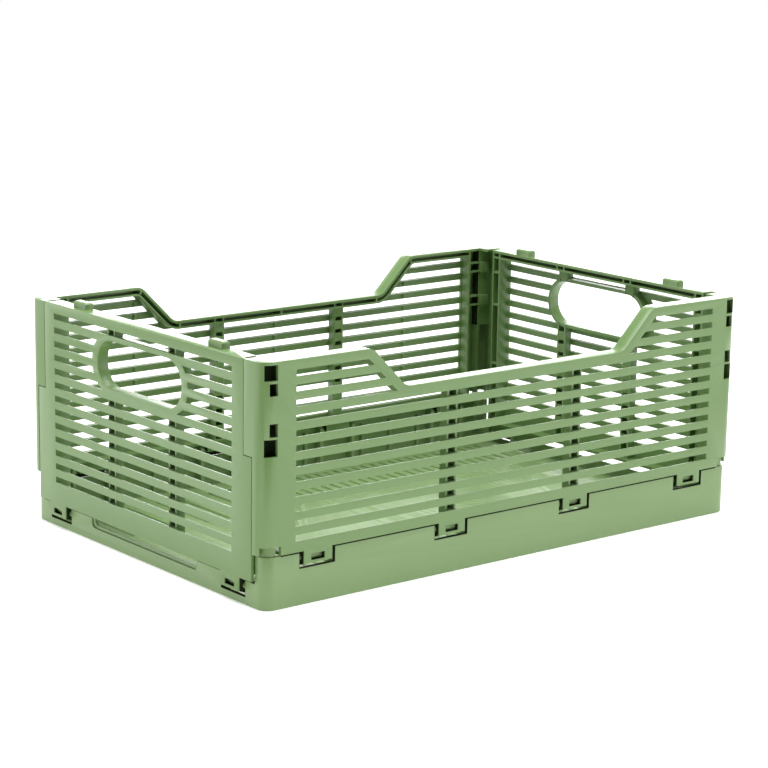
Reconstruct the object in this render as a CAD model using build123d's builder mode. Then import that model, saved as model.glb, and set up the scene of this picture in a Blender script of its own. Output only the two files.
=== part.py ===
"""Collapsible slatted storage crate: a base tray, two long walls and two end walls that fold inwards.

Frame: millimetres, origin under the middle of the tray, +X along the length, +Z up.
The end walls swing down first on their own hinge line, low on the tray.  The long walls carry the
corner columns and fold on top of them, on a hinge line one wall thickness higher.
"""
from build123d import *
import os

# Driving dimensions
base_length = 400.0
base_width = 265.2
base_corner_radius = 8.0
wall_top = 153.7
end_overhang = 2.8          # end walls and columns stand proud of the tray by this much
side_overhang = 0.8

skin = 2.2                  # moulded wall thickness
flange = 2.0                # frame flange thickness
web = 1.6                   # stiffening web thickness
seam = 0.6                  # gap between neighbouring mouldings
end_gap = 0.5               # gap between an end wall's foot and the rim below it

# Tray heights
floor_thickness = 2.4
rim = 2.5
side_rim_top = 33.6
end_rim_top = 16.9
tray_chamfer = 0.8          # round the foot of the tray
post_end = 123.0            # the corner post wraps round each end as far as this
block_length = 8.8          # locating blocks that stand inside the column feet
block_width = 6.8
block_x = 195.2
block_y = 127.6
block_top = 39.0
block_inset = 1.2           # the blocks stand back from the tray's outer faces
tray_rib_places = [-134, -107, -80, -26.5, 0, 26.5, 80, 107, 134]
tray_rib_depth = 2.3
tray_rib_drop = 5.0         # the ribs end this far below the rim
drain_slot_length = 64.0    # the middle of the floor is plain
drain_slot_width = 2.8
drain_pitch = 8.6
drain_count = 42
drain_row_pitch = 158.0
drain_rows = 2
recess_radius = 4.0
recess_steps = [(61.8, 9.2, 1.2), (59.6, 11.2, 8.0)]    # half length, bottom and depth of each step

# Walls
half_x = base_length / 2 + end_overhang
half_y = base_width / 2 + side_overhang
column_radius = 9.0
column_skin = 2.4
side_wall_bottom = side_rim_top + seam
end_wall_bottom = end_rim_top + end_gap
step_height = 95.2          # above this the columns wrap further round the ends
side_depth = 10.2           # long wall depth, and the column return below the step
deep_return = 19.0          # column return above the step
corner_plate = 18.4         # the plate over each corner reaches this deep
end_depth = 11.6
column_web = 179.0          # web between a column and the slats
pocket_web = 189.4          # web that closes the pocket behind the column windows
pocket_bottom = 93.6
end_channel = (102.9, 110.0)        # the two webs beside each edge of an end wall
lip_drop = 4.6              # from a top edge to the lip below it
lip = 1.3

# Slats: narrow slots on an even pitch
slot_height = 4.0
slot_spread = 0.25          # the slots' edges spread by this much for each millimetre inwards
slot_pitch = 9.29
top_slot_centre = 145.4
side_slot_count = 12
side_slot_length = 355.2
end_slot_count = 13
end_slot_length = 204.2
slot_centres = [top_slot_centre - slot_pitch * i for i in range(end_slot_count)]
tick_places = [-120.5, 0, 120.5]

# Dip in each long wall
dip_bottom = 126.8
dip_half_top = 119.8
dip_half_bottom = 92.9
dip_radius = 10.0
frame_band = 6.3            # plain band between an edge and the nearest slot

# Handle in each end wall
handle_width = 97.0
handle_height = 32.0
handle_centre = 124.2
handle_border = 6.5
handle_tube = 2.5
handle_depth = 8.0

# Hinges: moulded bars in the tray, snap hooks on the walls
pin_radius = 2.0
bore_radius = 2.05
hook_radius = 4.6
hook_drop = 3.4             # the hook's flush plate ends this far below its bore
mouth = 3.4
side_axis_y = half_y - 4.9
side_axis_z = 29.3
end_axis_x = half_x - 4.8
end_axis_z = 11.8
side_hinges = [-160.3, -53.5, 53.5, 160.3]
end_hinges = [-100.0, 100.0]
side_notch_width = 27.0
side_notch_bottom = 23.7
end_notch_width = 25.4
end_notch_bottom = 5.3
side_hook_width = 21.4
end_hook_width = 20.0
side_window = (10.4, -1.9, 2.3)     # width, then bottom and top from the bar's centre
end_window = (10.2, -1.7, 1.9)
side_cheek_radius = 4.2     # cheeks that carry the ends of each bar
end_cheek_radius = 4.9
side_cheek_inner = 124.3
end_cheek_inner = 193.1
pin_grip = 0.5              # the bar runs this far into each cheek

# Stiffening behind the slats
side_rib_centre = 53.5
end_rib_centre = 35.0
rib_half_gap = 3.6
rib_web = 1.4
rib_depth = 8.5
rib_box_height = 6.2        # a shallow box closes each slot between the two ribs of a pair
rib_box_floor = 1.2
channel_tie_levels = [40.0, 66.0, 112.0, 137.0]
dip_webs = [-88.0, 88.0]    # extra webs in the top channel, at the ends of the dip
tick_width = 2.6
tick_height = 3.6
tick_depth = 1.2

# Catches between the columns and the end walls, and the windows they are moulded through
catch_levels = [(135.2, 143.2), (109.4, 117.4)]
catch_wall = 1.3
catch_end = 195.8
catch_depth = 12.9
tab_depth = 5.4             # where the column's foot tab begins
window_inner = 191.3
windows = [(199.8, 142.2, 151.9), (197.0, 132.9, 140.6), (197.0, 108.0, 116.2), (199.8, 95.9, 106.7)]
foot_cutout = 188.4         # the column foot is cut away outside this, over the locating block
foot_height = 40.0
tab_bottom = 35.0           # the column's return reaches down beside the block as a tab

# Stacking lugs on the end walls and their slots in the floor
lug_y = 77.6
lug_length = 14.4
lug_height = 4.5
lug_outer = 198.0
lug_inner = 191.8
lug_clearance = 1.2
lug_slot_height = 5.2
lug_chamfer = 1.0

big = 500.0                 # longer than anything that a cut has to pass through


def bar(x0, x1, y0, y1, mode=Mode.ADD):
    """A rectangle between two corners, in the current sketch."""
    with Locations(((x0 + x1) / 2, (y0 + y1) / 2)):
        Rectangle(abs(x1 - x0), abs(y1 - y0), mode=mode)


def side_outline():
    """Front elevation of a long wall, with the dip in its top edge."""
    with BuildLine() as edge:
        dip = FilletPolyline(
            (-half_x, wall_top), (-dip_half_top, wall_top), (-dip_half_bottom, dip_bottom),
            (dip_half_bottom, dip_bottom), (dip_half_top, wall_top), (half_x, wall_top),
            radius=dip_radius,
        )
        Polyline(dip @ 1, (half_x, side_wall_bottom), (-half_x, side_wall_bottom), dip @ 0)
    return edge.edges()


def end_outline():
    """Elevation of an end wall: wide below the step, narrower between the column returns above it."""
    low, high = post_end - seam, half_y - deep_return - seam
    with BuildLine() as edge:
        Polyline(
            (-low, end_wall_bottom), (low, end_wall_bottom), (low, step_height - seam),
            (high, step_height - seam), (high, wall_top), (-high, wall_top),
            (-high, step_height - seam), (-low, step_height - seam), close=True,
        )
    return edge.edges()


def inset(outline, amount):
    """The face inside an outline, drawn in from its edges by an amount."""
    with BuildSketch() as face:
        make_face(outline())
        if amount:
            offset(amount=-amount, kind=Kind.INTERSECTION, mode=Mode.REPLACE)
    return face.sketch


def band(outline, outer, inner):
    """The band between two insets of an outline."""
    with BuildSketch() as face:
        add(inset(outline, outer))
        add(inset(outline, inner), mode=Mode.SUBTRACT)
    return face.sketch


def slot_section(face, level):
    """Section of one slot through a wall whose outer face stands at a coordinate: it widens inwards."""
    front, back = -1.0, skin + 1.0
    low = slot_height / 2 + front * slot_spread
    high = slot_height / 2 + back * slot_spread
    Polygon(
        (face + front, level - low), (face + back, level - high),
        (face + back, level + high), (face + front, level + low), align=None,
    )


def rib_pair(centre, low, high):
    """The two ribs of a pair, side by side in the current sketch."""
    for half in (-1, 1):
        middle = centre + half * rib_half_gap
        bar(middle - rib_web / 2, middle + rib_web / 2, low, high)


def rib_boxes(centre, levels, height, inner):
    """One rectangle between the ribs of a pair at each slot, in the current sketch."""
    for level in levels:
        bar(centre - inner, centre + inner, level - height / 2, level + height / 2)


def column_plan(inner, depth):
    """Plan of the rounded columns at both ends of the front wall, from an inner line to a depth."""
    with BuildSketch() as plan:
        RectangleRounded(2 * half_x, 2 * half_y, column_radius)
        RectangleRounded(2 * (half_x - column_skin), 2 * (half_y - skin), column_radius - column_skin,
                         mode=Mode.SUBTRACT)
        with BuildSketch(mode=Mode.PRIVATE) as reach:
            for end in (-1, 1):
                bar(end * inner, end * half_x, -half_y, depth - half_y)
        add(reach.sketch, mode=Mode.INTERSECT)
    return plan.sketch


def hook_profile(axis, height, outer, top):
    """Section of a hinge hook: a knuckle round the bar, a flush outer plate and a snap mouth."""
    with Locations((axis, height)):
        Circle(hook_radius)
    bar(outer, axis, height - hook_drop, top)
    bar(axis, axis + hook_radius, height, top)
    with Locations((axis, height)):
        Circle(bore_radius, mode=Mode.SUBTRACT)
    with Locations((axis + mouth, height - mouth)):
        Rectangle(2.6 * mouth, mouth, rotation=-45, mode=Mode.SUBTRACT)


# Base tray: high rims on the long sides, low rims on the ends
with BuildPart() as base_tray:
    with BuildSketch():
        RectangleRounded(base_length, base_width, base_corner_radius)
    extrude(amount=side_rim_top)
    chamfer(base_tray.faces().sort_by(Axis.Z)[0].outer_wire().edges(), tray_chamfer)
    with BuildSketch(Plane.XY.offset(floor_thickness)):
        RectangleRounded(base_length - 2 * rim, base_width - 2 * rim, base_corner_radius - rim)
    extrude(amount=side_rim_top, mode=Mode.SUBTRACT)

    # low rim across each end, between the corner posts
    with BuildSketch(Plane.YZ):
        bar(-post_end, post_end, end_rim_top, 2 * side_rim_top)
    extrude(amount=big, both=True, mode=Mode.SUBTRACT)

    # stiffening ribs inside the long rims
    with BuildSketch():
        rib_outer = base_width / 2 - rim / 2
        rib_inner = base_width / 2 - rim - tray_rib_depth
        for x in tray_rib_places:
            for side in (-1, 1):
                bar(x - web / 2, x + web / 2, side * rib_outer, side * rib_inner)
    extrude(amount=side_rim_top - tray_rib_drop)

    # locating blocks that stand inside the column feet
    with BuildSketch(Plane.XY.offset(end_rim_top)):
        with GridLocations(2 * block_x, 2 * block_y, 2, 2):
            Rectangle(block_length, block_width)
        RectangleRounded(base_length - 2 * block_inset, base_width - 2 * block_inset,
                         base_corner_radius - block_inset, mode=Mode.INTERSECT)
    extrude(amount=block_top - end_rim_top)

    # hinge notches, four through each long rim and two through each end rim
    with BuildSketch(Plane.XZ):
        for x in side_hinges:
            bar(x - side_notch_width / 2, x + side_notch_width / 2, side_notch_bottom, 2 * side_rim_top)
    extrude(amount=big, both=True, mode=Mode.SUBTRACT)
    with BuildSketch(Plane.YZ):
        for y in end_hinges:
            bar(y - end_notch_width / 2, y + end_notch_width / 2, end_notch_bottom, side_rim_top)
    extrude(amount=big, both=True, mode=Mode.SUBTRACT)

    # cheeks beside each notch, and the bar between them that the wall hooks snap onto
    for x in side_hinges:
        for edge in (-1, 1):
            with BuildSketch(Plane.YZ.offset(x + edge * (side_notch_width + rim) / 2)):
                for side in (-1, 1):
                    with Locations((side * side_axis_y, side_axis_z)):
                        Circle(side_cheek_radius)
                    bar(side * side_cheek_inner, side * (base_width - rim) / 2, floor_thickness, side_axis_z)
                bar(-base_width / 2, base_width / 2, 0, 2 * side_rim_top, Mode.INTERSECT)
            extrude(amount=rim / 2, both=True)
        with BuildSketch(Plane.YZ.offset(x)):
            with Locations((-side_axis_y, side_axis_z), (side_axis_y, side_axis_z)):
                Circle(pin_radius)
        extrude(amount=side_notch_width / 2 + pin_grip, both=True)
    for y in end_hinges:
        for edge in (-1, 1):
            with BuildSketch(Plane.XZ.offset(y + edge * (end_notch_width + rim) / 2)):
                for side in (-1, 1):
                    with Locations((side * end_axis_x, end_axis_z)):
                        Circle(end_cheek_radius)
                    bar(side * end_cheek_inner, side * (base_length - rim) / 2, floor_thickness, end_axis_z)
                bar(-base_length / 2, base_length / 2, 0, side_rim_top, Mode.INTERSECT)
            extrude(amount=rim / 2, both=True)
        with BuildSketch(Plane.XZ.offset(y)):
            with Locations((-end_axis_x, end_axis_z), (end_axis_x, end_axis_z)):
                Circle(pin_radius)
        extrude(amount=end_notch_width / 2 + pin_grip, both=True)

    # stepped recess in each end rim, which takes the deep column returns when folded
    for half_length, bottom, depth in recess_steps:
        for end in (-1, 1):
            with BuildSketch(Plane.YZ.offset(end * base_length / 2)):
                bar(-half_length, half_length, bottom, side_rim_top)
                fillet(vertices().group_by(Axis.Y)[0], recess_radius)
            extrude(amount=-end * depth, mode=Mode.SUBTRACT)

    # slots that take the stacking lugs of a crate below, and drain slots
    with BuildSketch():
        with GridLocations(lug_outer + lug_inner, 2 * lug_y, 2, 2):
            Rectangle(lug_outer - lug_inner + lug_clearance, lug_length + lug_clearance)
    extrude(amount=lug_slot_height, mode=Mode.SUBTRACT)
    with BuildSketch():
        with GridLocations(drain_pitch, drain_row_pitch, drain_count, drain_rows):
            SlotOverall(drain_slot_length, drain_slot_width, rotation=90)
    extrude(amount=floor_thickness, mode=Mode.SUBTRACT)
base_tray.part.label = "base_tray"

# Long wall at the front: slatted skin, ribbed frame behind it and a rounded column at each end
front_plane = Plane.XZ.offset(half_y)
behind_skin = Plane.XZ.offset(half_y - skin)
side_slot_centres = slot_centres[:side_slot_count]
side_ribs = [-side_rib_centre, side_rib_centre]
side_rib_slots = [z for z in side_slot_centres if z + slot_height / 2 < dip_bottom - frame_band]
with BuildPart() as side_slots:
    with BuildSketch(Plane.YZ):
        for z in side_slot_centres:
            slot_section(-half_y, z)
    extrude(amount=side_slot_length / 2, both=True)
    with BuildSketch(Plane.XZ):
        add(inset(side_outline, frame_band))
    extrude(amount=big, both=True, mode=Mode.INTERSECT)

with BuildPart() as front_wall:
    with BuildSketch(front_plane):
        add(inset(side_outline, 0))
    extrude(amount=-skin)
    add(side_slots.part, mode=Mode.SUBTRACT)

    # frame: edge flange, lip below the top edge, rib pairs over the inner hinges, webs beside the columns
    with BuildSketch(behind_skin):
        with BuildSketch(mode=Mode.PRIVATE) as top_lip:
            add(band(side_outline, lip_drop, lip_drop + lip))
            bar(-column_web, column_web, dip_bottom - 2 * lip_drop, wall_top, Mode.INTERSECT)
        add(band(side_outline, 0, flange))
        add(top_lip.sketch)
        for x in tick_places + dip_webs:
            edge = dip_bottom if abs(x) < dip_half_bottom else wall_top
            bar(x - lip / 2, x + lip / 2, edge - lip_drop - lip / 2, edge - flange / 2)
        for end in (-1, 1):
            for x in (column_web, pocket_web):
                bar(end * x - web / 2, end * x + web / 2, side_wall_bottom, wall_top - flange / 2)
    extrude(amount=skin - side_depth)
    with BuildSketch(behind_skin):
        for x in side_ribs:
            rib_pair(x, side_wall_bottom, dip_bottom - flange / 2)
            rib_boxes(x, side_rib_slots, rib_box_height, rib_half_gap)
    extrude(amount=skin - rib_depth)
    with BuildSketch(front_plane):
        for x in side_ribs:
            rib_boxes(x, side_rib_slots, slot_height, rib_half_gap - rib_web / 2)
    extrude(amount=rib_box_floor - rib_depth, mode=Mode.SUBTRACT)

    # small ticks on the back of each slat
    with BuildSketch(behind_skin):
        for z in side_slot_centres[:-1]:
            slat = z - slot_pitch / 2
            low, high = slat - tick_height / 2, slat + tick_height / 2
            for x in tick_places:
                if x or slat < dip_bottom - frame_band:
                    bar(x - tick_width / 2, x + tick_width / 2, low, high)
    extrude(amount=-tick_depth)

    # rounded columns: they wrap further round the ends above the step, and a plate closes each corner
    for bottom, top, inner, depth in (
        (side_wall_bottom, wall_top, column_web, side_depth),
        (step_height, wall_top, half_x - column_radius, deep_return),
    ):
        with BuildSketch(Plane.XY.offset(bottom)):
            add(column_plan(inner, depth))
        extrude(amount=top - bottom)
    for bottom, top, inner, front, depth in (
        (wall_top - flange, wall_top, pocket_web, column_radius / 2, corner_plate),
        (pocket_bottom, wall_top - flange / 2, pocket_web, side_depth - web, side_depth),
    ):
        with BuildSketch(Plane.XY.offset(bottom)):
            for end in (-1, 1):
                bar(end * inner, end * (half_x - column_skin / 2), front - half_y, depth - half_y)
        extrude(amount=top - bottom)

    # catches behind the columns: two shelves across the channel and a nose beside the pocket
    for low, high in catch_levels:
        for z in (low, high - catch_wall):
            with BuildSketch(Plane.XY.offset(z)):
                for end in (-1, 1):
                    bar(end * column_web, end * pocket_web, skin / 2 - half_y, side_depth - half_y)
            extrude(amount=catch_wall)
        with BuildSketch(Plane.XY.offset(low)):
            front = side_depth - web - half_y
            for end in (-1, 1):
                bar(end * (pocket_web - web / 2), end * catch_end, front, catch_depth - half_y)
        extrude(amount=high - low)

    # windows through the columns, and the cut-out over each locating block
    with BuildSketch(front_plane):
        for end in (-1, 1):
            for outer, low, high in windows:
                bar(end * window_inner, end * outer, low, high)
    extrude(amount=web - side_depth, mode=Mode.SUBTRACT)
    with BuildSketch(Plane.XY):
        for end in (-1, 1):
            bar(end * foot_cutout, end * (half_x + 1), -half_y - 1, tab_depth - half_y)
            bar(end * foot_cutout, end * (half_x - column_skin), -half_y, side_depth + 1 - half_y)
    extrude(amount=foot_height, mode=Mode.SUBTRACT)
    with BuildSketch(Plane.XY):
        for end in (-1, 1):
            bar(end * foot_cutout, end * (half_x + 1), -half_y - 1, side_depth + 1 - half_y)
    extrude(amount=tab_bottom, mode=Mode.SUBTRACT)

    # round the corners
    with BuildSketch():
        RectangleRounded(2 * half_x, 2 * half_y, column_radius)
    extrude(amount=2 * wall_top, mode=Mode.INTERSECT)

    # hinge hooks, with a window in front of each bar
    for x in side_hinges:
        with BuildSketch(Plane.YZ.offset(x)):
            hook_profile(-side_axis_y, side_axis_z, -half_y, side_wall_bottom + flange)
        extrude(amount=side_hook_width / 2, both=True)
    with BuildSketch(front_plane):
        for x in side_hinges:
            width, low, high = side_window
            bar(x - width / 2, x + width / 2, side_axis_z + low, side_axis_z + high)
    extrude(amount=side_axis_y - half_y, mode=Mode.SUBTRACT)
front_wall.part.label = "front_wall"

with BuildPart() as back_wall:
    mirror(front_wall.part, about=Plane.XZ)
back_wall.part.label = "back_wall"

# End wall on the left: slatted skin with a hand hole, frame behind it, hinge hooks and stacking lugs
left_plane = Plane.YZ.offset(-half_x)
end_ribs = [-end_rib_centre, end_rib_centre]
rib_slots = [z for z in slot_centres if abs(z - handle_centre) > handle_height / 2 + slot_height / 2]
with BuildPart() as end_slots:
    with BuildSketch(Plane.XZ):
        for z in slot_centres:
            slot_section(-half_x, z)
    extrude(amount=end_slot_length / 2, both=True)
    with BuildSketch(Plane.YZ):
        with Locations((0, handle_centre)):
            SlotOverall(handle_width + 2 * handle_border, handle_height + handle_border)
    extrude(amount=big, both=True, mode=Mode.SUBTRACT)

with BuildPart() as left_end_wall:
    with BuildSketch(left_plane):
        add(inset(end_outline, 0))
    extrude(amount=skin)
    add(end_slots.part, mode=Mode.SUBTRACT)

    # deep frame: top and bottom flanges, top lip and the channel down each side
    with BuildSketch(left_plane.offset(skin)):
        inner, outer = end_channel
        edge = outer + web / 2
        bar(-edge, edge, wall_top - flange, wall_top)
        bar(-edge, edge, wall_top - lip_drop - lip, wall_top - lip_drop)
        bar(-edge, edge, end_wall_bottom, end_wall_bottom + flange)
        for side in (-1, 1):
            for y in end_channel:
                bar(side * y - web / 2, side * y + web / 2, end_wall_bottom, wall_top - flange / 2)
            for z in channel_tie_levels:
                bar(side * inner, side * outer, z - lip / 2, z + lip / 2)
            for half in (-1, 1):
                y = side * end_rib_centre + half * rib_half_gap
                bar(y - lip / 2, y + lip / 2, wall_top - lip_drop - lip / 2, wall_top - flange / 2)
    extrude(amount=end_depth - skin)

    # tube round the hand hole, and rib pairs above and below it
    with BuildSketch(left_plane.offset(skin)):
        with Locations((0, handle_centre)):
            SlotOverall(handle_width + 2 * handle_tube, handle_height + 2 * handle_tube)
    extrude(amount=handle_depth - skin)
    with BuildSketch(left_plane.offset(skin)):
        for y in end_ribs:
            rib_pair(y, end_wall_bottom, wall_top - flange / 2)
            rib_boxes(y, rib_slots, rib_box_height, rib_half_gap)
    extrude(amount=rib_depth - skin)
    with BuildSketch(left_plane):
        for y in end_ribs:
            rib_boxes(y, rib_slots, slot_height, rib_half_gap - rib_web / 2)
    extrude(amount=rib_depth - rib_box_floor, mode=Mode.SUBTRACT)
    with BuildSketch(left_plane):
        with Locations((0, handle_centre)):
            SlotOverall(handle_width, handle_height)
    extrude(amount=2 * end_depth, mode=Mode.SUBTRACT)

    # stacking lugs
    with BuildSketch(Plane.XY.offset(wall_top - 1)):
        with GridLocations(0, 2 * lug_y, 1, 2):
            with Locations((-(lug_outer + lug_inner) / 2, 0)):
                Rectangle(lug_outer - lug_inner, lug_length)
    extrude(amount=lug_height + 1)
    chamfer(left_end_wall.faces().group_by(Axis.Z)[-1].edges(), lug_chamfer)

    # hinge hooks, with a window in front of each bar
    for y in end_hinges:
        with BuildSketch(Plane.XZ.offset(y)):
            hook_profile(-end_axis_x, end_axis_z, -half_x, end_wall_bottom + flange)
        extrude(amount=end_hook_width / 2, both=True)
    with BuildSketch(left_plane):
        for y in end_hinges:
            width, low, high = end_window
            bar(y - width / 2, y + width / 2, end_axis_z + low, end_axis_z + high)
    extrude(amount=half_x - end_axis_x, mode=Mode.SUBTRACT)
left_end_wall.part.label = "left_end_wall"

with BuildPart() as right_end_wall:
    mirror(left_end_wall.part, about=Plane.YZ)
right_end_wall.part.label = "right_end_wall"

os.makedirs("parts", exist_ok=True)
for piece in (base_tray, front_wall, back_wall, left_end_wall, right_end_wall):
    export_step(piece.part, f"parts/{piece.part.label}.step")
    print(piece.part.label, len(piece.part.solids()), round(piece.part.volume / 1000, 1), "cm3")
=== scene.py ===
import math
import bpy
import bmesh
import numpy as np
from mathutils import Matrix, Vector


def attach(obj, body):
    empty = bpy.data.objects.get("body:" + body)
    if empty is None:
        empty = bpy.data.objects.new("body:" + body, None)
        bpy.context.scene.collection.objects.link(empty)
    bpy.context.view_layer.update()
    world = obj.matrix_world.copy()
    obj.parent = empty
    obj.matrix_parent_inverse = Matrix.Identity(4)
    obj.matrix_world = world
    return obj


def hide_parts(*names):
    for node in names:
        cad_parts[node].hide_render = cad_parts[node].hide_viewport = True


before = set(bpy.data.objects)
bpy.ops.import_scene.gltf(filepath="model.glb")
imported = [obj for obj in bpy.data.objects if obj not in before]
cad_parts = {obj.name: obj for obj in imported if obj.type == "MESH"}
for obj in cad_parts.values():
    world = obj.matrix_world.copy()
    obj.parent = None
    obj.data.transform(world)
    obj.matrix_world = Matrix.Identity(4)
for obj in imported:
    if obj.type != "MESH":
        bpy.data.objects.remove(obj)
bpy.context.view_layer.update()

# lengths are metres and angles are degrees, unless a note says otherwise
cameraView = {
    "place": (-1.0144, -1.2523, 0.4439),
    "azimuth": -38.92,     # round the crate, 0 looks along +Y
    "elevation": 12.30,
    "roll": 0.91,
    "lens": 112.63,        # millimetres
    "sensor": 36.0,
    "clip": (0.05, 50.0),
}


def aim(azimuth, elevation, roll):
    # the camera's axes: backwards is the direction on the sphere, sideways lies level,
    # and both turn by the roll
    a, e, r = (math.radians(v) for v in (azimuth, elevation, roll))
    back = Vector((math.sin(a) * math.cos(e), -math.cos(a) * math.cos(e), math.sin(e)))
    level = Vector((math.cos(a), math.sin(a), 0))
    right = level * math.cos(r) + back.cross(level) * math.sin(r)
    return Matrix((right, back.cross(right), back)).transposed()


def makeCamera(view):
    data = bpy.data.cameras.new("camera")
    data.lens, data.sensor_width = view["lens"], view["sensor"]
    data.clip_start, data.clip_end = view["clip"]
    camera = bpy.data.objects.new("camera", data)
    bpy.context.collection.objects.link(camera)
    turned = aim(view["azimuth"], view["elevation"], view["roll"])
    camera.matrix_world = Matrix.Translation(view["place"]) @ turned.to_4x4()
    bpy.context.scene.camera = camera


class Wire:
    # a socket in a shader, with arithmetic that adds Math nodes
    def __init__(self, tree, socket):
        self.tree, self.socket = tree, socket

    def node(self, kind, settings=None, **inputs):
        # inputs go by name, or by number as i0, i1 and so on
        made = self.tree.nodes.new(kind)
        for name, value in (settings or {}).items():
            setattr(made, name, value)
        for name, value in inputs.items():
            key = int(name[1:]) if name[0] == "i" and name[1:].isdigit() else name.replace("_", " ")
            if isinstance(value, Wire):
                self.tree.links.new(value.socket, made.inputs[key])
            else:
                made.inputs[key].default_value = value
        return made

    def out(self, kind, output=0, settings=None, **inputs):
        return Wire(self.tree, self.node(kind, settings, **inputs).outputs[output])

    def math(self, operation, a, b=0.0):
        return self.out("ShaderNodeMath", 0, {"operation": operation}, i0=a, i1=b)

    def vectorMath(self, operation, a, b=(0.0, 0.0, 0.0)):
        return self.out("ShaderNodeVectorMath", 0, {"operation": operation}, i0=a, i1=b)

    def blend(self, factor, a, b):
        return self.out("ShaderNodeMix", 2, {"data_type": "RGBA"}, i0=factor, i6=a, i7=b)

    def noise(self, space, scale, detail, roughness, distortion=0.0):
        return self.out("ShaderNodeTexNoise", 0, Vector=space, Scale=scale, Detail=detail,
                        Roughness=roughness, Distortion=distortion)

    def ease(self, value, start, end, low, high, kind="SMOOTHSTEP"):
        # low at the start and high at the end of a span of values
        return self.out("ShaderNodeMapRange", 0, {"interpolation_type": kind}, Value=value,
                        From_Min=start, From_Max=end, To_Min=low, To_Max=high)

    def __add__(self, other):
        return self.math("ADD", self, other)

    def __radd__(self, other):
        return self.math("ADD", other, self)

    def __sub__(self, other):
        return self.math("SUBTRACT", self, other)

    def __rsub__(self, other):
        return self.math("SUBTRACT", other, self)

    def __mul__(self, other):
        return self.math("MULTIPLY", self, other)


# hollows where hardly any light gets in, so shade is painted in there as a dark surface, as boxes (low
# corner, high corner) in one quarter of the crate
shadedHollows = {
    "columnPocket": ((0.1886, 0.1240, 0.0934), (0.1997, 0.1306, 0.1514)),
    "innerHook": ((0.0420, 0.1240, 0.0240), (0.0650, 0.1327, 0.0338)),
    "outerHook": ((0.1488, 0.1240, 0.0240), (0.1718, 0.1327, 0.0338)),
    "endHook": ((0.1936, 0.0895, 0.0070), (0.2021, 0.1105, 0.0170)),
    "innerNotch": ((0.0398, 0.1306, 0.0232), (0.0672, 0.1327, 0.0337)),
    "outerNotch": ((0.1466, 0.1306, 0.0232), (0.1740, 0.1327, 0.0337)),
    "endNotch": ((0.1970, 0.0871, 0.0050), (0.2001, 0.1129, 0.0090)),
    "endRecess": ((0.1910, 0.0000, 0.0108), (0.1962, 0.0590, 0.0170)),
    "sideSeam": ((0.0000, 0.1316, 0.0330), (0.1880, 0.1327, 0.0337)),
    "endSeam": ((0.1985, 0.0000, 0.0156), (0.2001, 0.1225, 0.0170)),
}
# the painted shade put on the hollows: a dark, rough surface in place of the shade that falls there
paintedHollowShade = {"colour": (0.020, 0.029, 0.013, 1.0), "roughness": 0.9, "ior": 1.1}


def paintedShadeMask(start, names):
    # 1 inside the named boxes, where the shade is painted: where the longest of |p - middle| - half along x,
    # y and z is below 0
    quarter = start.vectorMath("ABSOLUTE", start)
    mask = 0.0
    for name in names:
        low, high = (np.array(corner) for corner in shadedHollows[name])
        reach = start.vectorMath("ABSOLUTE", start.vectorMath("SUBTRACT", quarter, tuple((low + high) / 2)))
        over = start.vectorMath("SUBTRACT", reach, tuple((high - low) / 2))
        parts = start.node("ShaderNodeSeparateXYZ", Vector=over).outputs
        x, y, z = (Wire(start.tree, part) for part in parts)
        farthest = start.math("MAXIMUM", start.math("MAXIMUM", x, y), z)
        mask = start.math("MAXIMUM", start.math("LESS_THAN", farthest), mask)
    return mask


plastics = {
    "wall": {
        "deep": (0.130, 0.224, 0.072, 1.0),
        "light": (0.150, 0.253, 0.086, 1.0),
        "roughness": 0.34,
        "grain": 0.00004,
        "shadedHollows": ("columnPocket", "innerHook", "outerHook", "endHook"),
    },
    "tray": {
        "deep": (0.176, 0.278, 0.106, 1.0),
        "light": (0.200, 0.308, 0.124, 1.0),
        "roughness": 0.35,
        "grain": 0.00004,
        "shadedHollows": ("innerNotch", "outerNotch", "endNotch", "endRecess", "sideSeam", "endSeam"),
    },
    # the rounded edges: lighter, partly for wear and partly a painted highlight where the edges catch the
    # light
    "edge": {
        "deep": (0.340, 0.450, 0.275, 1.0),
        "light": (0.380, 0.495, 0.310, 1.0),
        "roughness": 0.34,
        "grain": 0.00002,
        "shadedHollows": ("innerHook", "outerHook", "endHook", "innerNotch", "outerNotch", "endNotch",
                    "sideSeam", "endSeam"),
    },
}
moulding = {
    "cloud": (18.0, 3.0, 0.55),            # scale, detail and roughness of each noise
    "flow": (1.6, 4.0, 0.50, 0.6),         # and its distortion
    "flowStretch": (9.0, 30.0, 70.0),
    "grain": (1900.0, 2.0, 0.60),
    "rub": (2.2, 5.0, 0.62),
    "rubStretch": (260.0, 14.0, 90.0),
    "rubTurn": (0.4, 0.9, 0.3),            # radians
    "rubSpan": (0.66, 0.78),               # noise above this shows as a rub mark
    "pitScale": 1300.0,
    "cloudShare": 0.65,
    "grainShare": 0.7,
    "rubColour": 0.10,
    "glossFlow": 0.10,                     # how much each noise changes the roughness
    "glossGrain": 0.12,
    "glossRub": 0.08,
    "bump": 0.55,
    "ior": 1.49,
}


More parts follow.
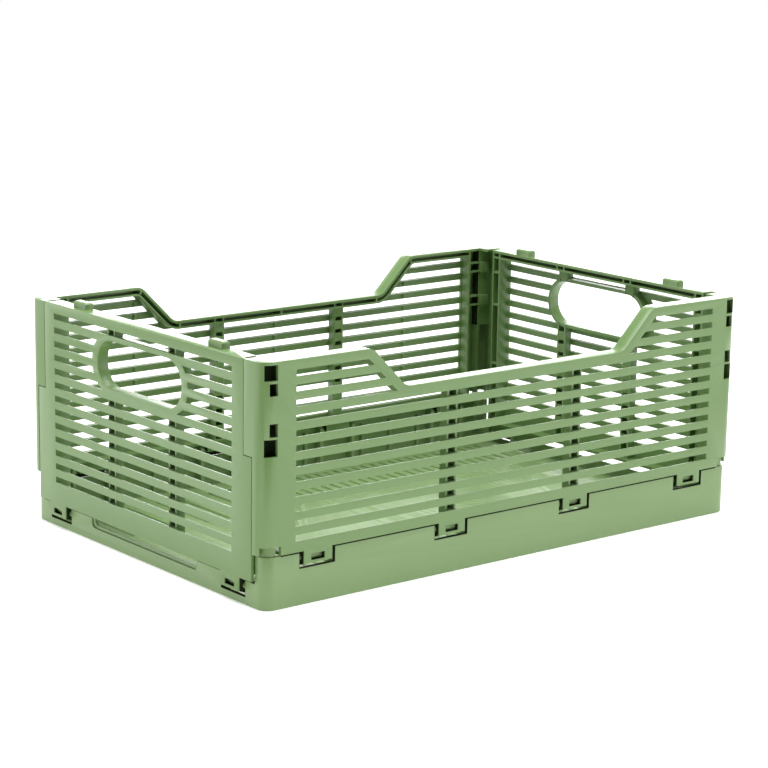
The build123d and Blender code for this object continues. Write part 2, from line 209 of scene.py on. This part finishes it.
def makePlastic(name, look):
    # moulded polypropylene: cloudy colour, flow marks, fine spark-eroded grain and faint rub marks, mixed
    # over to a dark painted shade in the listed hollows
    material = bpy.data.materials.new(name)
    material.use_nodes = True
    tree = material.node_tree
    shader = tree.nodes["Principled BSDF"]
    start = Wire(tree, tree.nodes.new("ShaderNodeTexCoord").outputs["Object"])
    cloud = start.noise(start, *moulding["cloud"])
    flowSpace = start.out("ShaderNodeMapping", 0, Vector=start, Scale=moulding["flowStretch"])
    flow = start.noise(flowSpace, *moulding["flow"])
    grain = start.noise(start, *moulding["grain"])
    pits = start.out("ShaderNodeTexVoronoi", 0, Vector=start, Scale=moulding["pitScale"])
    rubSpace = start.out("ShaderNodeMapping", 0, Vector=start, Rotation=moulding["rubTurn"],
                         Scale=moulding["rubStretch"])
    rub = start.noise(rubSpace, *moulding["rub"])
    marks = start.ease(rub, *moulding["rubSpan"], 0.0, 1.0, "LINEAR")
    cloudy = cloud * moulding["cloudShare"] + flow * (1 - moulding["cloudShare"])
    colour = start.blend(cloudy, look["deep"], look["light"])
    worn = start.blend(marks * moulding["rubColour"], colour, plastics["edge"]["light"])
    tree.links.new(worn.socket, shader.inputs["Base Color"])
    gloss = (look["roughness"] + (flow - 0.5) * moulding["glossFlow"]
             + (grain - 0.5) * moulding["glossGrain"] + marks * moulding["glossRub"])
    tree.links.new(gloss.socket, shader.inputs["Roughness"])
    relief = grain * moulding["grainShare"] + pits * (1 - moulding["grainShare"])
    bump = start.out("ShaderNodeBump", 0, Height=relief, Distance=look["grain"], Strength=moulding["bump"])
    tree.links.new(bump.socket, shader.inputs["Normal"])
    shader.inputs["IOR"].default_value = moulding["ior"]
    # painted shade: inside the hollows the plastic is mixed over to a dark shader
    paintedShade = start.node("ShaderNodeBsdfPrincipled", Base_Color=paintedHollowShade["colour"],
                      Roughness=paintedHollowShade["roughness"], IOR=paintedHollowShade["ior"])
    both = start.node("ShaderNodeMixShader", i0=paintedShadeMask(start, look["shadedHollows"]))
    tree.links.new(shader.outputs["BSDF"], both.inputs[1])
    tree.links.new(paintedShade.outputs["BSDF"], both.inputs[2])
    tree.links.new(both.outputs["Shader"], tree.nodes["Material Output"].inputs["Surface"])
    return material


wallPlastic = makePlastic("wallPlastic", plastics["wall"])
trayPlastic = makePlastic("trayPlastic", plastics["tray"])
# the bevelled edges get a lighter plastic: wear and a painted highlight
edgeWearAndHighlight = makePlastic("edgeWearAndHighlight", plastics["edge"])
print("plastics made")

mouldedEdge = {
    "radius": 0.00042,
    "segments": 2,
    "angle": 32.0,         # edges sharper than this are rounded
    "merge": 0.00001,      # vertices nearer than this are one
    "flat": 1.0,           # faces within this angle are joined
}


def softenMould(node, name, body, plastic):
    # a copy of the moulding, merged and with its flat faces joined, whose edges a bevel then rounds
    mesh = bpy.data.objects[node].data.copy()
    mesh.name = name
    work = bmesh.new()
    work.from_mesh(mesh)
    bmesh.ops.remove_doubles(work, verts=work.verts, dist=mouldedEdge["merge"])
    bmesh.ops.dissolve_limit(work, angle_limit=math.radians(mouldedEdge["flat"]),
                             verts=work.verts, edges=work.edges)
    work.to_mesh(mesh)
    work.free()
    mesh.materials.clear()
    mesh.materials.append(plastic)
    mesh.materials.append(edgeWearAndHighlight)
    mesh.polygons.foreach_set("material_index", np.zeros(len(mesh.polygons), dtype=np.int32))
    mesh.polygons.foreach_set("use_smooth", np.ones(len(mesh.polygons), dtype=bool))
    piece = bpy.data.objects.new(name, mesh)
    bpy.context.collection.objects.link(piece)
    bevel = piece.modifiers.new("moulded edges", "BEVEL")
    bevel.width, bevel.segments = mouldedEdge["radius"], mouldedEdge["segments"]
    bevel.limit_method, bevel.angle_limit = "ANGLE", math.radians(mouldedEdge["angle"])
    bevel.use_clamp_overlap = True
    bevel.harden_normals = True
    bevel.material = 1     # the edge plastic: lighter, partly wear and partly a painted highlight
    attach(piece, body)
    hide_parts(node)


softenMould("base_tray", "baseTray", "crate_body", trayPlastic)
softenMould("front_wall", "frontWall", "crate_body", wallPlastic)
softenMould("back_wall", "backWall", "crate_body", wallPlastic)
softenMould("left_end_wall", "leftEndWall", "left_end", wallPlastic)
softenMould("right_end_wall", "rightEndWall", "right_end", wallPlastic)
print("mouldings softened")

table = {
    "reach": 1.25,
    "colour": (0.93, 0.93, 0.93, 1.0),
    "roughness": 0.9,
    "glow": 0.40,          # the table is lit from below
}
surroundings = {
    "low": 1.55,           # brightness at the horizon
    "high": 0.30,          # and overhead
    "rise": (0.26, 0.50),  # heights on the unit sphere between which it fades
    "near": 0.88,          # how much darker it is towards the camera
    "nearSpan": (0.45, 0.90),
    "far": 4.0,            # and how much brighter beyond the crate
    "farSpan": (-0.97, -0.78),
}
lamps = {
    "top": {"place": (0.0, 0.0, 1.5), "target": (0, 0, 0), "size": (1.3, 1.3), "power": 36.0},
    "front": {"place": (0.85, -1.6, 0.45), "target": (0, 0, 0.08), "size": (0.9, 0.8), "power": 3.0},
    "left": {"place": (-1.65, 0.75, 0.45), "target": (0, 0, 0.08), "size": (0.9, 0.8), "power": 2.2},
}


def makeTable():
    mesh = bpy.data.meshes.new("floor")
    reach = table["reach"]
    mesh.from_pydata([(-reach, -reach, 0), (reach, -reach, 0), (reach, reach, 0), (-reach, reach, 0)],
                     [], [(0, 1, 2, 3)])
    paper = bpy.data.materials.new("floorPaper")
    paper.use_nodes = True
    inputs = paper.node_tree.nodes["Principled BSDF"].inputs
    inputs["Base Color"].default_value = table["colour"]
    inputs["Roughness"].default_value = table["roughness"]
    inputs["Emission Color"].default_value = (1, 1, 1, 1)
    inputs["Emission Strength"].default_value = table["glow"]
    mesh.materials.append(paper)
    top = bpy.data.objects.new("floor", mesh)
    bpy.context.collection.objects.link(top)


def makeSurroundings(turn):
    # a bright horizon that is darker on the camera's side, and plain white where the camera sees it
    world = bpy.data.worlds.new("studio")
    bpy.context.scene.world = world
    world.use_nodes = True
    tree = world.node_tree
    start = Wire(tree, tree.nodes.new("ShaderNodeTexCoord").outputs["Generated"])
    height = start.out("ShaderNodeSeparateXYZ", 2, Vector=start)
    facing = start.out("ShaderNodeVectorMath", "Value", {"operation": "DOT_PRODUCT"}, i0=start,
                       i1=(math.sin(turn), -math.cos(turn), 0.0))
    rise = start.ease(height, *surroundings["rise"], surroundings["low"], surroundings["high"])
    dark = start.ease(facing, *surroundings["nearSpan"], 0.0, surroundings["near"])
    glow = start.ease(facing, *surroundings["farSpan"], surroundings["far"], 0.0)
    lit = rise * (1 - dark) * (1 + glow)
    seen = Wire(tree, tree.nodes.new("ShaderNodeLightPath").outputs["Is Camera Ray"])
    background = tree.nodes["Background"]
    background.inputs["Color"].default_value = (1, 1, 1, 1)
    tree.links.new((seen + (1 - seen) * lit).socket, background.inputs["Strength"])


def makeLamp(name, lamp):
    data = bpy.data.lights.new(name, "AREA")
    data.shape = "RECTANGLE"
    data.size, data.size_y = lamp["size"]
    data.energy = lamp["power"]
    light = bpy.data.objects.new(name, data)
    bpy.context.collection.objects.link(light)
    way = Vector(lamp["target"]) - Vector(lamp["place"])
    light.matrix_world = Matrix.Translation(lamp["place"]) @ way.to_track_quat("-Z", "Y").to_matrix().to_4x4()


makeCamera(cameraView)
makeTable()
makeSurroundings(math.radians(cameraView["azimuth"]))
for name, lamp in lamps.items():
    makeLamp(name, lamp)
bpy.context.scene.view_settings.view_transform = "Standard"
print("studio made")
